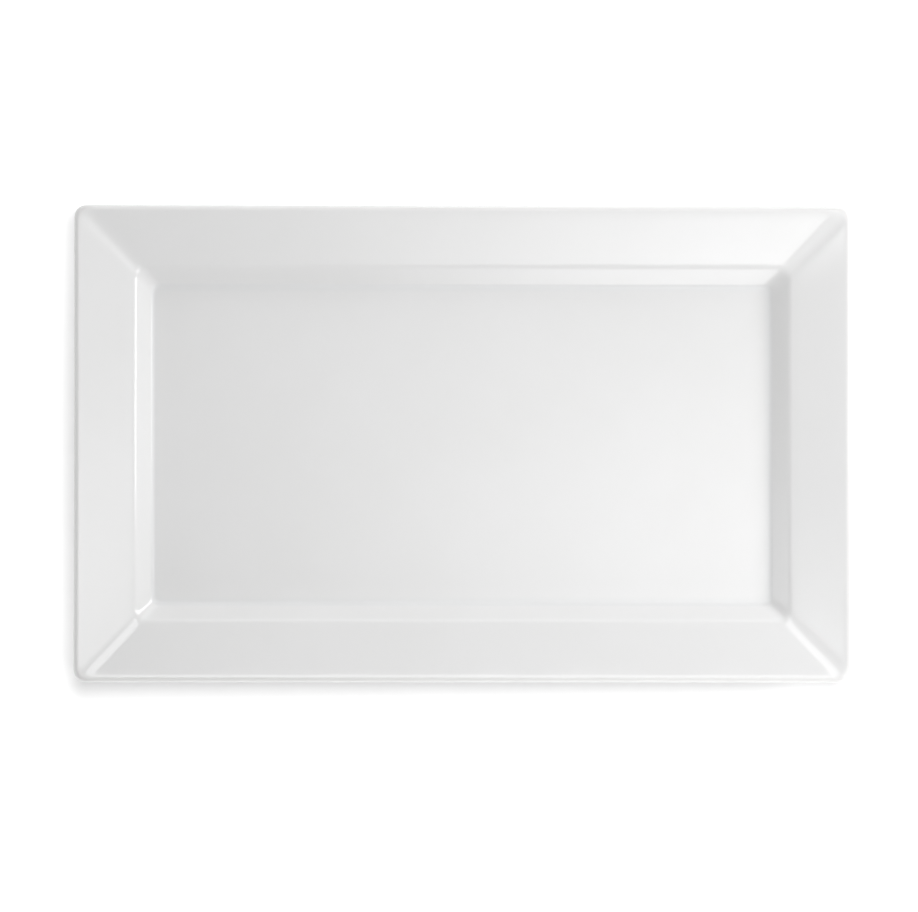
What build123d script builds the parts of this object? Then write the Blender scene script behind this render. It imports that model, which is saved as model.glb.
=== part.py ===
"""Rectangular china serving platter: one porcelain body and the glaze fused over it.

The well, wall, rim and foot ring are a single piece of fired clay. The glaze covers all of it
except the tread of the foot ring, which is wiped bare before firing, so the glaze is two
separate coats: one outside the foot ring and one inside it.

Frame: +X along the length, +Y along the width, +Z up. The origin is the middle of the plane
that the foot ring stands on. An inset is a distance in from the outer edge, seen from above.
A corner of the section is (inset, z, radius), and radius is the plan radius of the outline there.
"""

from build123d import *
import os
from math import cos, hypot, radians, tan

# Size, mm. The lip is this high along the sides, and its corners stand 0.1 mm higher
LENGTH = 362.0
WIDTH = 222.0
LIP_HEIGHT = 24.0

# Upper surface: flat well, steep wall, and a broad rim that eases off just inside the edge
CREASE_INSET = 28.4
WALL_WIDTH = 8.2
BROW_INSET = 2.9
WALL_SLOPE = radians(43.5)
RIM_SLOPE = radians(16)
BROW_SLOPE = radians(9)

# Thickness of the finished piece, glaze included, and of the glaze alone
RIM_THICKNESS = 4.8
WALL_THICKNESS = 5.0
WELL_THICKNESS = 5.4
GLAZE = 0.3

# Foot ring: the insets of its two sides at the root and at the tread, and the glaze's edge
FOOT_OUTER_ROOT = 35.0
FOOT_OUTER_TREAD = 35.6
FOOT_INNER_TREAD = 41.4
FOOT_INNER_ROOT = 42.4
GLAZE_LINE = 0.9

# Plan corner radii of the outlines
EDGE_CORNER = 6.0
CREASE_CORNER = 5.0
WELL_CORNER = 4.0
KNEE_CORNER = 8.0
FOOT_CORNER = 8.0
RECESS_CORNER = 4.0

# Radii that round the section's corners. The brow turns by too little to need one
WELL_ROUND = 3.2
CREASE_ROUND = 7.0
EDGE_TOP_ROUND = 2.0
EDGE_UNDER_ROUND = 1.6
KNEE_ROUND = 8.0
FOOT_ROOT_ROUND = 2.5
RECESS_ROUND = 2.0
TREAD_ROUND = 0.6

# Levels of the upper surface. The lip is rounded off below the level of its sharp edge
EDGE_Z = LIP_HEIGHT + EDGE_TOP_ROUND * (1 / cos(BROW_SLOPE) + tan(BROW_SLOPE) - 1)
BROW_Z = EDGE_Z - BROW_INSET * tan(BROW_SLOPE)
CREASE_Z = BROW_Z - (CREASE_INSET - BROW_INSET) * tan(RIM_SLOPE)
WELL_INSET = CREASE_INSET + WALL_WIDTH
WELL_Z = CREASE_Z - WALL_WIDTH * tan(WALL_SLOPE)

# Levels of the underside. Its two slopes are carried out to where they would meet the edge
RIM_UNDER_Z = CREASE_Z + CREASE_INSET * tan(RIM_SLOPE) - RIM_THICKNESS / cos(RIM_SLOPE)
WALL_UNDER_Z = CREASE_Z + CREASE_INSET * tan(WALL_SLOPE) - WALL_THICKNESS / cos(WALL_SLOPE)
KNEE_INSET = (WALL_UNDER_Z - RIM_UNDER_Z) / (tan(WALL_SLOPE) - tan(RIM_SLOPE))
KNEE_Z = RIM_UNDER_Z - KNEE_INSET * tan(RIM_SLOPE)
FOOT_ROOT_Z = WALL_UNDER_Z - FOOT_OUTER_ROOT * tan(WALL_SLOPE)
RECESS_Z = WELL_Z - WELL_THICKNESS

# How far cutting solids run past what they cut, and how nearly level an edge must be
BEYOND = 5.0
LEVEL = 0.01
HANGING = (Align.CENTER, Align.CENTER, Align.MAX)


def into_clay(start, end):
    """The unit normal into the clay of the face from one corner of the section to the next."""
    across = end[0] - start[0]
    up = end[1] - start[1]
    return -up / hypot(across, up), across / hypot(across, up)


def set_back(before, corner, after, coat):
    """A corner of the section moved into the clay, so that both its faces move by coat."""
    inset, z, radius = corner
    first = into_clay(before, corner)
    second = into_clay(corner, after)
    share = coat / (1 + first[0] * second[0] + first[1] * second[1])
    shift = share * (first[0] + second[0])
    return inset + shift, z + share * (first[1] + second[1]), radius - shift


def section(coat):
    """The section's corners by name, with its glazed faces set back into the clay by coat."""
    corners = {
        "middle": (WIDTH / 2, WELL_Z, WELL_CORNER),
        "well": (WELL_INSET, WELL_Z, WELL_CORNER),
        "crease": (CREASE_INSET, CREASE_Z, CREASE_CORNER),
        "brow": (BROW_INSET, BROW_Z, EDGE_CORNER),
        "edge": (0.0, EDGE_Z, EDGE_CORNER),
        "edge_under": (0.0, RIM_UNDER_Z, EDGE_CORNER),
        "knee": (KNEE_INSET, KNEE_Z, KNEE_CORNER),
        "foot_root": (FOOT_OUTER_ROOT, FOOT_ROOT_Z, FOOT_CORNER),
        "outer_tread": (FOOT_OUTER_TREAD, 0.0, FOOT_CORNER),
        "inner_tread": (FOOT_INNER_TREAD, 0.0, RECESS_CORNER),
        "recess": (FOOT_INNER_ROOT, RECESS_Z, RECESS_CORNER),
        "panel": (WIDTH / 2, RECESS_Z, RECESS_CORNER),
    }
    names = list(corners)
    moved = {}
    for before, name, after in zip(names, names[1:], names[2:]):
        moved[name] = set_back(corners[before], corners[name], corners[after], coat)
    moved["outer_tread"] = (FOOT_OUTER_TREAD + coat, 0.0, FOOT_CORNER - coat)
    moved["inner_tread"] = (FOOT_INNER_TREAD - coat, 0.0, RECESS_CORNER + coat)
    return moved


def lengthened(start, end, reach):
    """The corner that lies on the face from start to end, further along it by an inset."""
    share = reach / (start[0] - end[0])
    return tuple(value + (value - first) * share for first, value in zip(start, end))


def raised(corner, height):
    """The same corner, higher up."""
    inset, z, radius = corner
    return inset, z + height, radius


def level_edges(edges, z):
    """Those of the edges that lie level at a height."""
    near = edges.filter_by_position(Axis.Z, z - LEVEL, z + LEVEL)
    return near.filter_by(lambda edge: edge.bounding_box().size.Z < LEVEL)


def lofted(corners, rounds):
    """A solid through the platter's outlines at some corners of the section, lowest first.

    Each of rounds is a height and the radius that its level edges are rounded with.
    """
    with BuildPart() as solid:
        for inset, z, radius in corners:
            with BuildSketch(Plane.XY.offset(z)):
                RectangleRounded(LENGTH - 2 * inset, WIDTH - 2 * inset, radius)
        loft(ruled=True)
        for z, radius in rounds:
            fillet(level_edges(solid.edges(), z), radius)
    return solid.part


def outer_solid(corners, coat):
    """The platter's outside and underside, as a block with the hollow above not yet cut."""
    tread, root, knee, under = [
        corners[name] for name in ("outer_tread", "foot_root", "knee", "edge_under")
    ]
    rounds = [
        (root[1], FOOT_ROOT_ROUND + coat),
        (knee[1], KNEE_ROUND + coat),
        (under[1], EDGE_UNDER_ROUND - coat),
    ]
    return lofted([tread, root, knee, under, raised(under, 2 * BEYOND)], rounds)


def hollow_solid(corners, coat):
    """The space above the well, wall and rim, carried out past the edge and up past the lip."""
    well, crease, brow, edge = [corners[name] for name in ("well", "crease", "brow", "edge")]
    past = lengthened(brow, edge, BEYOND)
    rounds = [(well[1], WELL_ROUND + coat), (crease[1], CREASE_ROUND - coat)]
    return lofted([well, crease, brow, past, raised(past, 2 * BEYOND)], rounds)


def recess_solid(corners, coat):
    """The space inside the foot ring, carried down past the tread."""
    tread, ceiling = corners["inner_tread"], corners["recess"]
    return lofted([raised(tread, -BEYOND), tread, ceiling], [(ceiling[1], RECESS_ROUND + coat)])


def platter_form(coat):
    """The whole platter with its surface set back by coat: 0 is the finished surface."""
    corners = section(coat)
    with BuildPart() as form:
        add(outer_solid(corners, coat))
        add(hollow_solid(corners, coat), mode=Mode.SUBTRACT)
        fillet(level_edges(form.edges(Select.LAST), corners["edge"][1]), EDGE_TOP_ROUND - coat)
        add(recess_solid(corners, coat), mode=Mode.SUBTRACT)
    return form.part


# The clay, with the tread of its foot ring rounded off where it stands
with BuildPart() as porcelain_body:
    add(platter_form(GLAZE))
    fillet(level_edges(porcelain_body.edges(), 0), TREAD_ROUND)

# Both coats of glaze: the finished form, less the clay and everything below the glaze's edge
with BuildPart() as coats:
    add(platter_form(0))
    with Locations((0, 0, GLAZE_LINE)):
        Box(LENGTH, WIDTH, GLAZE_LINE + BEYOND, align=HANGING, mode=Mode.SUBTRACT)
    add(porcelain_body.part, mode=Mode.SUBTRACT)

with BuildPart() as outer_glaze:
    add(coats.solids().sort_by(SortBy.VOLUME)[-1])

with BuildPart() as base_glaze:
    add(coats.solids().sort_by(SortBy.VOLUME)[0])

porcelain_body.part.label = "porcelain_body"
outer_glaze.part.label = "outer_glaze"
base_glaze.part.label = "base_glaze"

os.makedirs("parts", exist_ok=True)
export_step(porcelain_body.part, "parts/porcelain_body.step")
export_step(outer_glaze.part, "parts/outer_glaze.step")
export_step(base_glaze.part, "parts/base_glaze.step")
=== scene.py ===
import math

import bmesh
import bpy
import numpy as np
from mathutils import Matrix, Vector


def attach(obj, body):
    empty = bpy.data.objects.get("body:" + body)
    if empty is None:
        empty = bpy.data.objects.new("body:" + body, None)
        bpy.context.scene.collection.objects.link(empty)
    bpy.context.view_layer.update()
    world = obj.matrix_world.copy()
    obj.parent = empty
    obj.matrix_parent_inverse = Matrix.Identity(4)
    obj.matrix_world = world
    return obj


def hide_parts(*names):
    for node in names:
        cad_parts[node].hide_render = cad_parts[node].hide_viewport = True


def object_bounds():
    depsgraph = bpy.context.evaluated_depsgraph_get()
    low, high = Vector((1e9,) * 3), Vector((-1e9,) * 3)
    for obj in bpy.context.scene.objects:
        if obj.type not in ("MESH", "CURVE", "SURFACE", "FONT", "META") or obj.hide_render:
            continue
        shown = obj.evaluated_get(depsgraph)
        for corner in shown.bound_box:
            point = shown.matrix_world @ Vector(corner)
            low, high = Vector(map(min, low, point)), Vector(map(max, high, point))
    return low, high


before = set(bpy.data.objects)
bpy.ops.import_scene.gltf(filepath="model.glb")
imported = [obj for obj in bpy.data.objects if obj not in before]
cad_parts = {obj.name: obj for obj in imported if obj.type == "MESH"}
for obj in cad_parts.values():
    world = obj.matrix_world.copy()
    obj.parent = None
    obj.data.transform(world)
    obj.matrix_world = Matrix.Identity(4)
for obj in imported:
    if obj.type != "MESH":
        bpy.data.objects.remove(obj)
cad_low, cad_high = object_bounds()

# The china platter's looks: a fired clay body, the white glaze fused over all that shows, and the
# coat of glaze inside its foot ring. Each is swept round the platter from a section: a row of
# points, each an inset from the outer edge, a height, and the corner radius of the outline there.
# Sections are in millimetres, and MM turns them into Blender's metres.
MM = 0.001
HALF_LENGTH = cad_high.x / MM
HALF_WIDTH = cad_high.y / MM
LIP_HEIGHT = 24.0
GLAZE = 0.3

# Upper surface: flat well, steep wall, and a broad rim that eases off just inside the edge
CREASE_INSET = 28.4
WALL_WIDTH = 8.2
BROW_INSET = 2.9
WALL_SLOPE = math.radians(43.5)
RIM_SLOPE = math.radians(16)
BROW_SLOPE = math.radians(9)
EDGE_TOP_ROUND = 2.0
EDGE_Z = LIP_HEIGHT + EDGE_TOP_ROUND * (1 / math.cos(BROW_SLOPE) + math.tan(BROW_SLOPE) - 1)
BROW_Z = EDGE_Z - BROW_INSET * math.tan(BROW_SLOPE)
CREASE_Z = BROW_Z - (CREASE_INSET - BROW_INSET) * math.tan(RIM_SLOPE)
WELL_INSET = CREASE_INSET + WALL_WIDTH
WELL_Z = CREASE_Z - WALL_WIDTH * math.tan(WALL_SLOPE)

# Underside and foot ring
RIM_THICKNESS = 4.8
WALL_THICKNESS = 5.0
WELL_THICKNESS = 5.4
RIM_UNDER_Z = CREASE_Z + CREASE_INSET * math.tan(RIM_SLOPE) - RIM_THICKNESS / math.cos(RIM_SLOPE)
WALL_UNDER_Z = CREASE_Z + CREASE_INSET * math.tan(WALL_SLOPE) - WALL_THICKNESS / math.cos(WALL_SLOPE)
KNEE_INSET = (WALL_UNDER_Z - RIM_UNDER_Z) / (math.tan(WALL_SLOPE) - math.tan(RIM_SLOPE))
KNEE_Z = RIM_UNDER_Z - KNEE_INSET * math.tan(RIM_SLOPE)
FOOT_OUTER_ROOT = 35.0
FOOT_ROOT_Z = WALL_UNDER_Z - FOOT_OUTER_ROOT * math.tan(WALL_SLOPE)
FOOT_OUTER_TREAD = 35.6
FOOT_INNER_TREAD = 41.4
FOOT_INNER_ROOT = 42.4
RECESS_Z = WELL_Z - WELL_THICKNESS
GLAZE_LINE = 0.9

# Plan corner radii of the outlines
EDGE_CORNER = 6.0
CREASE_CORNER = 5.0
WELL_CORNER = 4.0
KNEE_CORNER = 8.0
FOOT_CORNER = 8.0
RECESS_CORNER = 4.0

# Radii that round the section's corners
WELL_ROUND = 3.2
CREASE_ROUND = 7.0
BROW_ROUND = 8.0
EDGE_UNDER_ROUND = 1.6
KNEE_ROUND = 8.0
FOOT_ROOT_ROUND = 2.5
RECESS_ROUND = 2.0
TREAD_ROUND = 0.6

# How finely the mesh is divided, and how far a section runs on over a level surface
SECTION_STEP = 3.0
END_RUN = 9.0
ARC_STEP = math.radians(6)
CORNER_STEPS = 12
LONG_SIDE_STEPS = 88
SHORT_SIDE_STEPS = 52
CAP_INSET = 12.0
CAP_STEPS = 4

# A plan corner is a superellipse, whose curvature fades into the straight sides. CORNER_REACH is
# how much further along the sides it reaches than a round corner that cuts off as much.
CORNER_POWER = 2.4
CORNER_REACH = 1.17

# Invented unevenness, as if from firing: sides that sag and bow in, ripples, a wavering glaze edge
LONG_SIDE_SAG = 0.22
SHORT_SIDE_SAG = 0.10
LONG_SIDE_BOW = 0.10
SHORT_SIDE_BOW = 0.08
RIPPLES = ((0.020, 9.1, 7.7, 0.4), (0.012, 5.3, -6.1, 1.9), (0.006, 3.1, 3.7, 4.4))
GLAZE_LINE_WOBBLE = 0.22
GLAZE_EDGE_ROLL = 0.8

# The camera is far off, leans in from the front left, and sees VIEW_WIDTH at the lip's level. These
# and the lights are in metres, and the sensor is in millimetres
FLOOR_HALF = 6.0
CAMERA_DISTANCE = 4.0
CAMERA_FROM = Vector((-math.tan(math.radians(2.0)), -math.tan(math.radians(2.4)), 1))
AIM = Vector((-0.0020, -0.0058, LIP_HEIGHT * MM))
VIEW_WIDTH = 0.4268
SENSOR_WIDTH = 36.0

# The paper glows. Its glow is dimmer in a rectangle, painted in to stand for a soft shadow
FLOOR_GLOW = 0.6
SHADE_GLOW = 0.2
SHADE_CENTRE = (-0.001, -0.003, 0)
SHADE_HALF = (0.174, 0.106, 1)
SHADE_REACH = 0.014

# The room's even light, and how much it changes per unit of direction
ROOM_LIGHT = 0.35
ROOM_SLOPE = (0.0, 0.0, -0.17)

# Each softbox: name, place, facing, size, radiance, and the share of each side that fades out
DOWN = (0, 0, -1)
LEFT = (-1, 0, 0)
RIGHT = (1, 0, 0)
BACK = (0, 1, 0)
FRONT = (0, -1, 0)
SOFTBOXES = (
    ("side_back", (0.85, 0.31, 0.46), LEFT, (0.62, 0.30), 6.4, 0.04),
    ("side_front_high", (0.62, -0.40, 0.80), DOWN, (0.48, 0.60), 5.6, 0.20),
    ("overhead_front", (0.27, -0.35, 0.80), DOWN, (0.80, 0.26), 3.9, 0.50),
    ("overhead_middle", (0.21, -0.04, 0.80), DOWN, (0.72, 0.40), 2.2, 0.50),
    ("overhead_back", (0.0, 0.25, 0.80), DOWN, (0.64, 0.24), 3.4, 0.12),
    ("overhead_left", (-0.25, -0.14, 0.80), DOWN, (0.20, 0.32), 3.6, 0.50),
    ("back_box", (0.0, 0.85, 0.30), FRONT, (1.40, 0.50), 1.5, 0.20),
    ("front_box", (0.45, -0.85, 0.20), BACK, (1.00, 0.30), 2.7, 0.20),
    ("left_box", (-0.85, -0.30, 0.20), RIGHT, (0.80, 0.30), 1.6, 0.20),
)


# ---------------------------------------------------------------- sections

def into_clay(direction):
    """The unit normal into the clay beside a section that runs in a direction (inset, z)."""
    return np.array([-direction[1], direction[0]])


def corner_arc(before, corner, after):
    """How a section turns at a corner: the normal before it, the side it turns to and by how much."""
    first = (corner[:2] - before[:2]) / np.linalg.norm(corner[:2] - before[:2])
    second = (after[:2] - corner[:2]) / np.linalg.norm(after[:2] - corner[:2])
    normal = into_clay(first)
    side = np.sign(second @ normal)
    turn = math.acos(np.clip(first @ second, -1, 1))
    return normal, side, turn


def rounded_section(corners):
    """Samples along a section through corners (inset, z, plan radius, round), rounded off.

    A sample is (inset, z, plan radius, normal's inset, normal's z, bend). The normal points into
    the clay. The bend is the curvature in 1/mm, above 0 where the surface bulges outwards.
    """
    corners = [np.array(corner, float) for corner in corners]
    samples = []
    start = corners[0]
    for number in range(1, len(corners)):
        corner = corners[number]
        step = corner[:2] - start[:2]
        end = corner
        last = number == len(corners) - 1
        if not last:
            normal, side, turn = corner_arc(start, corner, corners[number + 1])
            reach = corner[3] * math.tan(turn / 2)
            end = corner + (start - corner) * reach / np.linalg.norm(step)
            end[3] = corner[3]
        samples += straight_samples(start, end, into_clay(step / np.linalg.norm(step)), last)
        if not last:
            leg = corners[number + 1] - corner
            leave = corner + leg * reach / np.linalg.norm(leg[:2])
            samples += arc_samples(end, corner, leave, normal, side, turn)
            start = leave
    return np.array(samples)


def straight_samples(start, end, normal, with_end):
    """Samples from start to end, without the end unless it is asked for."""
    count = max(1, round(np.linalg.norm((end - start)[:2]) / SECTION_STEP))
    shares = np.arange(count + (1 if with_end else 0)) / count
    return [(*(start + (end - start) * share)[:3], *normal, 0.0) for share in shares]


def arc_samples(enter, corner, leave, normal, side, turn):
    """Samples round a corner, from where the arc starts to just before where it ends."""
    radius = corner[3]
    centre = enter[:2] + side * radius * normal
    count = max(2, math.ceil(turn / ARC_STEP))
    samples = []
    for number in range(count):
        share = number / count
        angle = side * turn * share
        turned = np.array([
            normal[0] * math.cos(angle) - normal[1] * math.sin(angle),
            normal[0] * math.sin(angle) + normal[1] * math.cos(angle),
        ])
        place = centre - side * radius * turned
        outline = (1 - share) ** 2 * enter[2] + 2 * share * (1 - share) * corner[2] + share**2 * leave[2]
        samples.append((*place, outline, *turned, side / radius))
    return samples


def offset_section(section, depth):
    """A section moved into the clay by a depth, which may differ from sample to sample."""
    moved = section.copy()
    moved[:, 0] += depth * section[:, 3]
    moved[:, 1] += depth * section[:, 4]
    moved[:, 2] -= depth * section[:, 3]
    return moved


def upper_section():
    """The finished surface from the well, over the lip and under the rim, to the glaze's edge."""
    flank = (FOOT_OUTER_TREAD - FOOT_OUTER_ROOT) / FOOT_ROOT_Z
    return rounded_section([
        (WELL_INSET + END_RUN, WELL_Z, WELL_CORNER, 0),
        (WELL_INSET, WELL_Z, WELL_CORNER, WELL_ROUND),
        (CREASE_INSET, CREASE_Z, CREASE_CORNER, CREASE_ROUND),
        (BROW_INSET, BROW_Z, EDGE_CORNER, BROW_ROUND),
        (0, EDGE_Z, EDGE_CORNER, EDGE_TOP_ROUND),
        (0, RIM_UNDER_Z, EDGE_CORNER, EDGE_UNDER_ROUND),
        (KNEE_INSET, KNEE_Z, KNEE_CORNER, KNEE_ROUND),
        (FOOT_OUTER_ROOT, FOOT_ROOT_Z, FOOT_CORNER, FOOT_ROOT_ROUND),
        (FOOT_OUTER_TREAD - flank * GLAZE_LINE, GLAZE_LINE, FOOT_CORNER, 0),
    ])


def base_section():
    """The finished surface inside the foot ring, from the glaze's edge to the base panel."""
    flank = (FOOT_INNER_ROOT - FOOT_INNER_TREAD) / RECESS_Z
    return rounded_section([
        (FOOT_INNER_TREAD + flank * GLAZE_LINE, GLAZE_LINE, RECESS_CORNER, 0),
        (FOOT_INNER_ROOT, RECESS_Z, RECESS_CORNER, RECESS_ROUND),
        (FOOT_INNER_ROOT + END_RUN, RECESS_Z, RECESS_CORNER, 0),
    ])


def foot_section(outer, inner):
    """The bare clay of the foot ring between the two edges of the glaze, round the tread."""
    return rounded_section([
        (outer[0], outer[1], outer[2], 0),
        (FOOT_OUTER_TREAD + GLAZE, 0, outer[2], TREAD_ROUND),
        (FOOT_INNER_TREAD - GLAZE, 0, inner[2], TREAD_ROUND),
        (inner[0], inner[1], inner[2], 0),
    ])


def edge_depth(section, edge):
    """How deep the coat's surface lies below the finished one: it rolls down to the clay at its edge."""
    steps = np.hypot(*np.diff(section[:, :2], axis=0).T)
    along = np.concatenate([[0], np.cumsum(steps)])
    distance = np.abs(along - along[edge])
    share = np.clip(distance / GLAZE_EDGE_ROLL, 0, 1)
    return GLAZE * (1 - np.sqrt(1 - (1 - share) ** 2))


# ---------------------------------------------------------------- meshes

def outline(inset, z, radius):
    """A closed ring of points round the platter. It starts at the middle of the +X +Y corner."""
    size = radius * CORNER_REACH
    angle = np.linspace(0, math.pi / 2, CORNER_STEPS + 1)
    across = np.abs(np.cos(angle)) ** (2 / CORNER_POWER) * size
    along = np.abs(np.sin(angle)) ** (2 / CORNER_POWER) * size
    x = HALF_LENGTH - inset - size
    y = HALF_WIDTH - inset - size
    corners = [
        np.column_stack([x + across, y + along]),
        np.column_stack([-x - across[::-1], y + along[::-1]]),
        np.column_stack([-x - across, -y - along]),
        np.column_stack([x + across[::-1], -y - along[::-1]]),
    ]
    parts = []
    for number, corner in enumerate(corners):
        following = corners[(number + 1) % 4]
        steps = LONG_SIDE_STEPS if number % 2 == 0 else SHORT_SIDE_STEPS
        shares = (np.arange(1, steps) / steps)[:, None]
        parts += [corner, corner[-1] + (following[0] - corner[-1]) * shares]
    ring = np.roll(np.concatenate(parts), -CORNER_STEPS // 2, axis=0)
    return np.column_stack([ring, np.full(len(ring), z)])


def square_outline(inset, z):
    """A ring of as many points on a sharp rectangle, evenly spaced from corner to corner."""
    x = HALF_LENGTH - inset
    y = HALF_WIDTH - inset
    corners = np.array([(x, y), (-x, y), (-x, -y), (x, -y)])
    parts = []
    for number, corner in enumerate(corners):
        following = corners[(number + 1) % 4]
        steps = CORNER_STEPS + (LONG_SIDE_STEPS if number % 2 == 0 else SHORT_SIDE_STEPS)
        parts.append(corner + (following - corner) * (np.arange(steps) / steps)[:, None])
    ring = np.concatenate(parts)
    return np.column_stack([ring, np.full(len(ring), z)])


def cap_rings(sample):
    """Rings that carry a level surface inwards from a section's end to a sharp rectangle."""
    inset, z, radius = sample[:3]
    wide = outline(inset, z, radius)
    square = square_outline(inset + CAP_INSET, z)
    return [wide + (square - wide) * step / CAP_STEPS for step in range(1, CAP_STEPS + 1)]


def cap_quads(ring, first):
    """Quads that fill the sharp rectangle of a ring of point numbers. Inner points start at first."""
    columns = CORNER_STEPS + LONG_SIDE_STEPS
    rows = CORNER_STEPS + SHORT_SIDE_STEPS
    grid = np.empty((columns + 1, rows + 1), int)
    grid[:, 0] = ring[:columns + 1]
    grid[columns, :] = ring[columns:columns + rows + 1]
    grid[::-1, rows] = ring[columns + rows:2 * columns + rows + 1]
    grid[0, 1:] = ring[2 * columns + rows:][::-1]
    grid[1:-1, 1:-1] = first + np.arange((columns - 1) * (rows - 1)).reshape(columns - 1, rows - 1)
    quads = np.stack([grid[:-1, :-1], grid[1:, :-1], grid[1:, 1:], grid[:-1, 1:]], axis=-1)
    return quads.reshape(-1, 4)


def grid_points(corner, far_corner, z):
    """The inner points of an even grid between two opposite corners of a rectangle."""
    columns = CORNER_STEPS + LONG_SIDE_STEPS
    rows = CORNER_STEPS + SHORT_SIDE_STEPS
    x = np.linspace(corner[0], far_corner[0], columns + 1)[1:-1]
    y = np.linspace(corner[1], far_corner[1], rows + 1)[1:-1]
    across, along = np.meshgrid(x, y, indexing="ij")
    return np.column_stack([across.ravel(), along.ravel(), np.full(across.size, z)])


def as_fired(points):
    """Points made slightly uneven, as if by firing. The tread of the foot stays on its plane."""
    x, y, z = points.T
    along = x / HALF_LENGTH
    across = y / HALF_WIDTH
    lift = z / LIP_HEIGHT
    sag = LONG_SIDE_SAG * (1 - along**2) + SHORT_SIDE_SAG * (1 - across**2)
    ripple = sum(size * (np.sin(x / u + y / v + phase) - 1) for size, u, v, phase in RIPPLES)
    near_line = (z / GLAZE_LINE) ** 2
    wobble = np.sin(x / 4.7 + 0.6) + 0.6 * np.sin(x / 1.9 + y / 2.3) + np.sin(y / 3.9 + 1.1)
    line = GLAZE_LINE_WOBBLE / 2.6 * wobble * near_line * np.exp(1 - near_line)
    return np.column_stack([
        x - along * SHORT_SIDE_BOW * (1 - across**2) * lift,
        y - across * LONG_SIDE_BOW * (1 - along**2) * lift,
        z + lift * (ripple - sag) + line,
    ])


def swept_piece(name, section, body):
    """A closed piece: a section swept round the platter, with both its ends capped."""
    inner_rings = cap_rings(section[0])[::-1]
    outer_rings = cap_rings(section[-1])
    rings = inner_rings + [outline(*sample[:3]) for sample in section] + outer_rings
    count = len(rings[0])
    number = np.arange(len(rings) * count).reshape(len(rings), count)
    following = np.roll(number, -1, axis=1)
    sides = np.stack([number[:-1], number[1:], following[1:], following[:-1]], axis=-1)
    columns = CORNER_STEPS + LONG_SIDE_STEPS
    rows = CORNER_STEPS + SHORT_SIDE_STEPS
    caps = []
    points = [np.concatenate(rings)]
    total = number.size
    for ring, numbers in ((rings[0], number[0]), (rings[-1], number[-1])):
        points.append(grid_points(ring[0], ring[columns + rows], ring[0][2]))
        caps.append(cap_quads(numbers, total))
        total += len(points[-1])
    vertices = as_fired(np.concatenate(points)) * MM
    faces = np.concatenate([sides.reshape(-1, 4), *caps])
    mesh = bpy.data.meshes.new(name)
    mesh.from_pydata(vertices.tolist(), [], faces.tolist())
    bends = np.concatenate([
        np.zeros(len(inner_rings)),
        section[:, 5],
        np.zeros(len(outer_rings)),
    ])
    set_bend(mesh, np.repeat(bends, count), total)
    face_outwards(mesh)
    piece = bpy.data.objects.new(name, mesh)
    bpy.context.scene.collection.objects.link(piece)
    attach(piece, body)
    return piece


def set_bend(mesh, bends, total):
    """Stores each vertex's bend for the materials. The caps' grids are level."""
    values = np.zeros(total, np.float32)
    values[:len(bends)] = bends
    mesh.attributes.new("bend", "FLOAT", "POINT").data.foreach_set("value", values)


def face_outwards(mesh):
    """Turns every face of a closed mesh outwards and shades it smooth."""
    editable = bmesh.new()
    editable.from_mesh(mesh)
    bmesh.ops.recalc_face_normals(editable, faces=editable.faces)
    for face in editable.faces:
        face.smooth = True
    editable.to_mesh(mesh)
    editable.free()


def build_pieces():
    """The clay body and its two coats of glaze."""
    upper = upper_section()
    base = base_section()
    clay_upper = offset_section(upper, GLAZE)
    clay_base = offset_section(base, GLAZE)
    foot = foot_section(clay_upper[-1], clay_base[0])
    clay = np.concatenate([clay_upper, foot[1:-1], clay_base])
    glaze = offset_section(upper, edge_depth(upper, -1))
    lining = offset_section(base, edge_depth(base, 0))
    body = swept_piece("clay_body", clay, "root")
    outer = swept_piece("outer_coat", np.concatenate([glaze, clay_upper[-2::-1]]), "root")
    inner = swept_piece("base_coat", np.concatenate([clay_base[:0:-1], lining]), "root")
    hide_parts("porcelain_body")
    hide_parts("outer_glaze")
    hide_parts("base_glaze")
    return body, outer, inner


# ---------------------------------------------------------------- materials

def new_material(name):
    """An empty node material with its shader and the platter's own coordinates."""
    material = bpy.data.materials.new(name)
    material.use_nodes = True
    tree = material.node_tree
    shader = tree.nodes["Principled BSDF"]
    place = tree.nodes.new("ShaderNodeTexCoord").outputs["Object"]
    return material, tree, shader, place


def noise(tree, place, size, detail=2.0):
    """Noise whose blotches are about size millimetres across."""
    node = tree.nodes.new("ShaderNodeTexNoise")
    node.inputs["Scale"].default_value = 1 / (size * MM)
    node.inputs["Detail"].default_value = detail
    tree.links.new(place, node.inputs["Vector"])
    return node.outputs["Fac"]


def spread(tree, value, low, high, out_low, out_high):
    """A value mapped from one range to another, held inside it."""
    node = tree.nodes.new("ShaderNodeMapRange")
    for socket, number in zip(("From Min", "From Max", "To Min", "To Max"), (low, high, out_low, out_high)):
        node.inputs[socket].default_value = number
    tree.links.new(value, node.inputs["Value"])
    return node.outputs["Result"]


def mixed(tree, share, first, second):
    """One colour turning into another as share goes from 0 to 1. Either may be a socket."""
    node = tree.nodes.new("ShaderNodeMix")
    node.data_type = "RGBA"
    tree.links.new(share, node.inputs["Factor"])
    sockets = [socket for socket in node.inputs if socket.type == "RGBA"]
    for socket, colour in zip(sockets, (first, second)):
        if isinstance(colour, tuple):
            socket.default_value = (*colour, 1)
        else:
            tree.links.new(colour, socket)
    return [socket for socket in node.outputs if socket.type == "RGBA"][0]


def operation(tree, kind, first, second):
    """A math node's result. Each operand is a number or a socket."""
    node = tree.nodes.new("ShaderNodeMath")
    node.operation = kind
    for socket, value in zip(node.inputs, (first, second)):
        if isinstance(value, (int, float)):
            socket.default_value = value
        else:
            tree.links.new(value, socket)
    return node.outputs["Value"]


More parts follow.
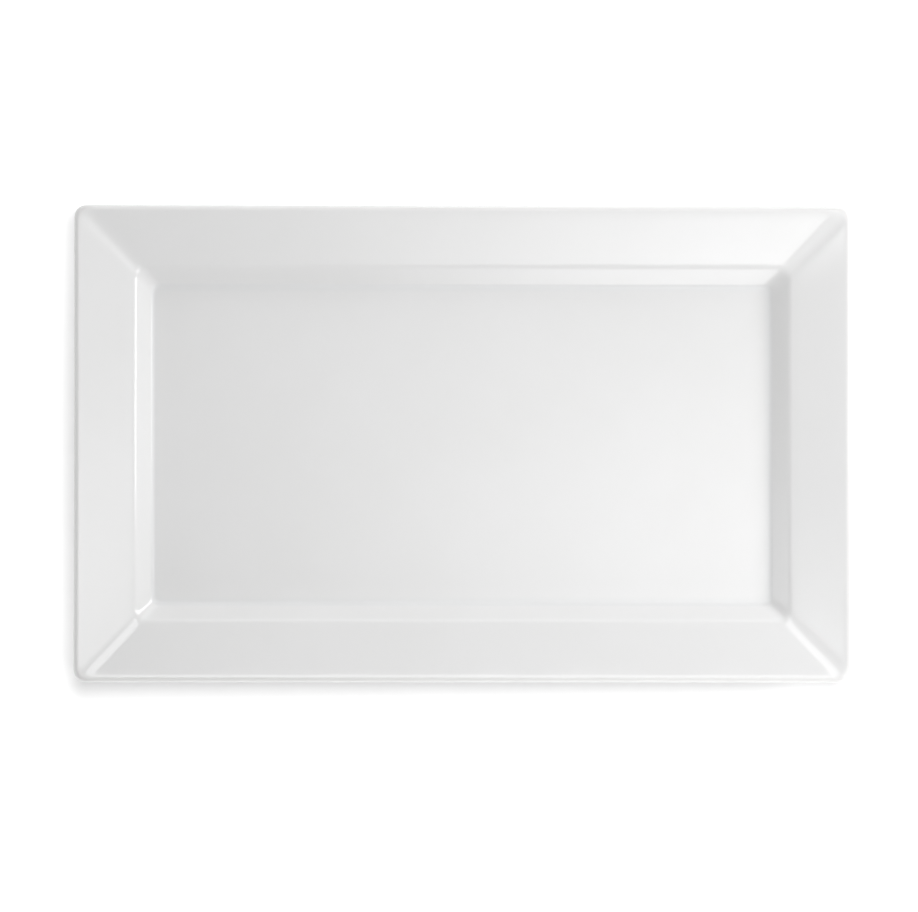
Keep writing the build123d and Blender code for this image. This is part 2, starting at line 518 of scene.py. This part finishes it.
def vector_operation(tree, kind, first, second=None):
    """A vector math node's result. The second operand, if any, is fixed."""
    node = tree.nodes.new("ShaderNodeVectorMath")
    node.operation = kind
    tree.links.new(first, node.inputs[0])
    if second is not None:
        node.inputs[1].default_value = second
    return node.outputs["Value" if kind in ("DOT_PRODUCT", "LENGTH") else "Vector"]


def bump(tree, shader, layers):
    """Bumps the surface by layers of (height, depth in mm), one over the other."""
    normal = None
    for height, depth in layers:
        node = tree.nodes.new("ShaderNodeBump")
        node.inputs["Strength"].default_value = 1.0
        node.inputs["Distance"].default_value = depth * MM
        tree.links.new(height, node.inputs["Height"])
        if normal is not None:
            tree.links.new(normal, node.inputs["Normal"])
        normal = node.outputs["Normal"]
    tree.links.new(normal, shader.inputs["Normal"])


def glaze_material():
    """Glossy white glaze: thicker and cooler in the hollows, thin and warmer over the edges."""
    material, tree, shader, place = new_material("white_china_glaze")
    bend = tree.nodes.new("ShaderNodeAttribute")
    bend.attribute_name = "bend"
    pooled = spread(tree, bend.outputs["Fac"], 0.0, -0.3, 0.0, 1.0)
    thin = spread(tree, bend.outputs["Fac"], 0.1, 0.6, 0.0, 1.0)
    clouds = spread(tree, noise(tree, place, 55.0, 3.0), 0.35, 0.65, 0.0, 1.0)
    white = mixed(tree, clouds, (0.870, 0.870, 0.868), (0.880, 0.880, 0.880))
    white = mixed(tree, pooled, white, (0.855, 0.860, 0.862))
    white = mixed(tree, thin, white, (0.885, 0.882, 0.876))
    tree.links.new(white, shader.inputs["Base Color"])
    smears = noise(tree, place, 14.0, 4.0)
    tree.links.new(spread(tree, smears, 0.3, 0.7, 0.05, 0.09), shader.inputs["Roughness"])
    shader.inputs["IOR"].default_value = 1.52
    bump(tree, shader, ((noise(tree, place, 6.0, 1.0), 0.004), (noise(tree, place, 1.4, 2.0), 0.0006)))
    return material


def clay_material():
    """Bare fired porcelain: matte, faintly warm, with the fine grit of the biscuit."""
    material, tree, shader, place = new_material("bare_biscuit")
    stains = spread(tree, noise(tree, place, 18.0, 4.0), 0.4, 0.7, 0.0, 1.0)
    grit = spread(tree, noise(tree, place, 0.7, 3.0), 0.35, 0.7, 0.0, 1.0)
    colour = mixed(tree, stains, (0.80, 0.775, 0.73), (0.72, 0.685, 0.625))
    colour = mixed(tree, grit, colour, (0.83, 0.81, 0.77))
    tree.links.new(colour, shader.inputs["Base Color"])
    tree.links.new(spread(tree, grit, 0.0, 1.0, 0.82, 0.95), shader.inputs["Roughness"])
    shader.inputs["IOR"].default_value = 1.45
    bump(tree, shader, ((noise(tree, place, 0.5, 3.0), 0.03),))
    return material


def floor_material():
    """Matte white paper that glows, painted dimmer in a soft rectangle to stand for a shadow."""
    material, tree, shader, place = new_material("studio_paper")
    place = vector_operation(tree, "SUBTRACT", place, SHADE_CENTRE)
    past = vector_operation(tree, "SUBTRACT", vector_operation(tree, "ABSOLUTE", place), SHADE_HALF)
    away = vector_operation(tree, "LENGTH", vector_operation(tree, "MAXIMUM", past, (0, 0, 0)))
    lit = spread(tree, away, 0.0, SHADE_REACH, 0.0, 1.0)
    tree.links.new(mixed(tree, lit, (0.60, 0.60, 0.60), (0.90, 0.90, 0.90)), shader.inputs["Base Color"])
    tree.links.new(spread(tree, lit, 0.0, 1.0, SHADE_GLOW, FLOOR_GLOW), shader.inputs["Emission Strength"])
    shader.inputs["Emission Color"].default_value = (1, 1, 1, 1)
    shader.inputs["Roughness"].default_value = 1.0
    shader.inputs["Specular IOR Level"].default_value = 0.0
    return material


def paint(objects, material):
    """Gives each object one material."""
    for item in objects:
        item.data.materials.clear()
        item.data.materials.append(material)


# ---------------------------------------------------------------- stage, light and camera

def build_floor():
    """A large sheet of paper that the platter stands on."""
    mesh = bpy.data.meshes.new("paper")
    half = FLOOR_HALF
    corners = [(-half, -half, 0), (half, -half, 0), (half, half, 0), (-half, half, 0)]
    mesh.from_pydata(corners, [], [(0, 1, 2, 3)])
    paper = bpy.data.objects.new("paper", mesh)
    bpy.context.scene.collection.objects.link(paper)
    paint([paper], floor_material())


def soft_edges(tree, edge):
    """How bright a softbox is over its face: 1 in the middle, fading to 0 within edge of each side."""
    face = tree.nodes.new("ShaderNodeNewGeometry").outputs["Parametric"]
    split = tree.nodes.new("ShaderNodeSeparateXYZ")
    tree.links.new(face, split.inputs[0])
    fades = []
    for share in (split.outputs["X"], split.outputs["Y"]):
        node = tree.nodes.new("ShaderNodeMapRange")
        node.interpolation_type = "SMOOTHSTEP"
        node.inputs["From Max"].default_value = edge
        tree.links.new(operation(tree, "PINGPONG", share, 0.5), node.inputs["Value"])
        fades.append(node.outputs["Result"])
    return operation(tree, "MULTIPLY", *fades)


def softbox(name, place, facing, size, radiance, edge):
    """A rectangular softbox with its middle at a place, facing a direction, level at its sides."""
    data = bpy.data.lights.new(name, "AREA")
    data.shape = "RECTANGLE"
    data.size, data.size_y = size
    data.energy = radiance * math.pi * size[0] * size[1]
    data.use_nodes = True
    tree = data.node_tree
    tree.links.new(soft_edges(tree, edge), tree.nodes["Emission"].inputs["Strength"])
    lamp = bpy.data.objects.new(name, data)
    lamp.location = place
    away = -Vector(facing).normalized()
    right = (Vector((0, 1, 0)) if abs(away.z) > 0.9 else Vector((0, 0, 1))).cross(away).normalized()
    lamp.rotation_euler = Matrix((right, away.cross(right), away)).transposed().to_euler()
    lamp.visible_camera = False
    bpy.context.scene.collection.objects.link(lamp)


def build_room():
    """The pale room round the stage: its light changes evenly from below to above."""
    world = bpy.data.worlds.new("studio")
    world.use_nodes = True
    tree = world.node_tree
    direction = tree.nodes.new("ShaderNodeTexCoord").outputs["Generated"]
    lean = vector_operation(tree, "DOT_PRODUCT", direction, ROOM_SLOPE)
    strength = operation(tree, "ADD", lean, ROOM_LIGHT)
    tree.links.new(strength, tree.nodes["Background"].inputs["Strength"])
    tree.nodes["Background"].inputs["Color"].default_value = (1, 1, 1, 1)
    bpy.context.scene.world = world


def build_lights():
    """The softboxes and the room's own light."""
    for name, place, facing, size, radiance, edge in SOFTBOXES:
        softbox(name, place, facing, size, radiance, edge)
    build_room()
    bpy.context.scene.view_settings.view_transform = "Standard"


def build_camera():
    """A long lens almost straight above, leaning in a little from the front left."""
    data = bpy.data.cameras.new("camera")
    camera = bpy.data.objects.new("camera", data)
    bpy.context.scene.collection.objects.link(camera)
    away = CAMERA_FROM.normalized()
    right = Vector((0, 1, 0)).cross(away).normalized()
    camera.location = AIM + away * CAMERA_DISTANCE
    camera.rotation_euler = Matrix((right, away.cross(right), away)).transposed().to_euler()
    data.sensor_width = SENSOR_WIDTH
    data.lens = SENSOR_WIDTH * CAMERA_DISTANCE / VIEW_WIDTH
    data.clip_start = 0.1
    data.clip_end = 50.0
    bpy.context.scene.camera = camera


body, outer, inner = build_pieces()
paint([outer, inner], glaze_material())
paint([body], clay_material())
build_floor()
build_lights()
build_camera()
